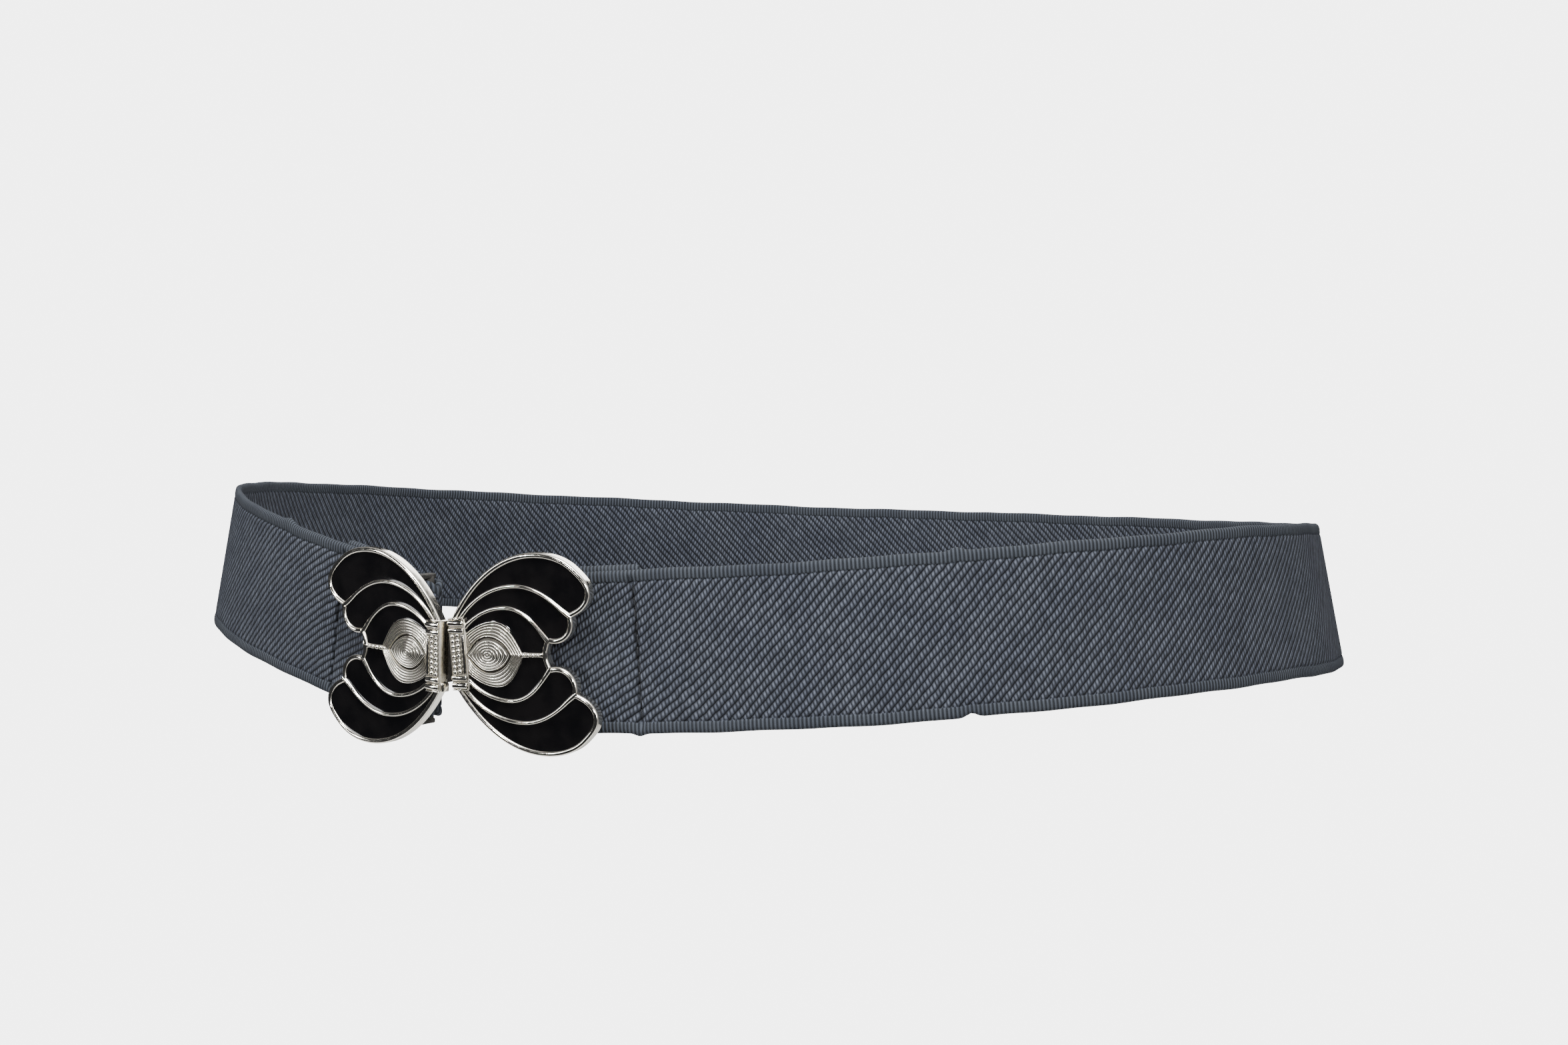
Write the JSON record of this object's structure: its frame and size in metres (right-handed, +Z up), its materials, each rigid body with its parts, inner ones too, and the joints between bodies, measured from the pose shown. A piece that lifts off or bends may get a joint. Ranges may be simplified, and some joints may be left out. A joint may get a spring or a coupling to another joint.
{
  "type": "stretch belt",
  "caption": "Elastic webbing belt closed round the waist by an interlocking cast butterfly clasp with enamelled feather cells.",
  "frame": {"origin": "middle of the worn loop, at the height of the clasp", "axes": "+Z up as worn, the wearer faces -Y, +X towards the wearer's left"},
  "size_m": [0.312, 0.25, 0.0665],
  "materials": {
    "webbing": "matte ribbed twill elastic, charcoal grey",
    "metal": "polished silver-toned casting",
    "enamel": "glossy black enamel"
  },
  "bodies": {
    "root": {"elastic_webbing": "webbing", "left_wing": "metal", "right_wing": "metal", "left_enamel_upper_outer": "enamel", "left_enamel_upper_middle": "enamel", "left_enamel_upper_inner": "enamel", "left_enamel_lower_outer": "enamel", "left_enamel_lower_middle": "enamel", "left_enamel_lower_inner": "enamel", "right_enamel_upper_outer": "enamel", "right_enamel_upper_middle": "enamel", "right_enamel_upper_inner": "enamel", "right_enamel_lower_outer": "enamel", "right_enamel_lower_middle": "enamel", "right_enamel_lower_inner": "enamel"}
  },
  "joints": []
}
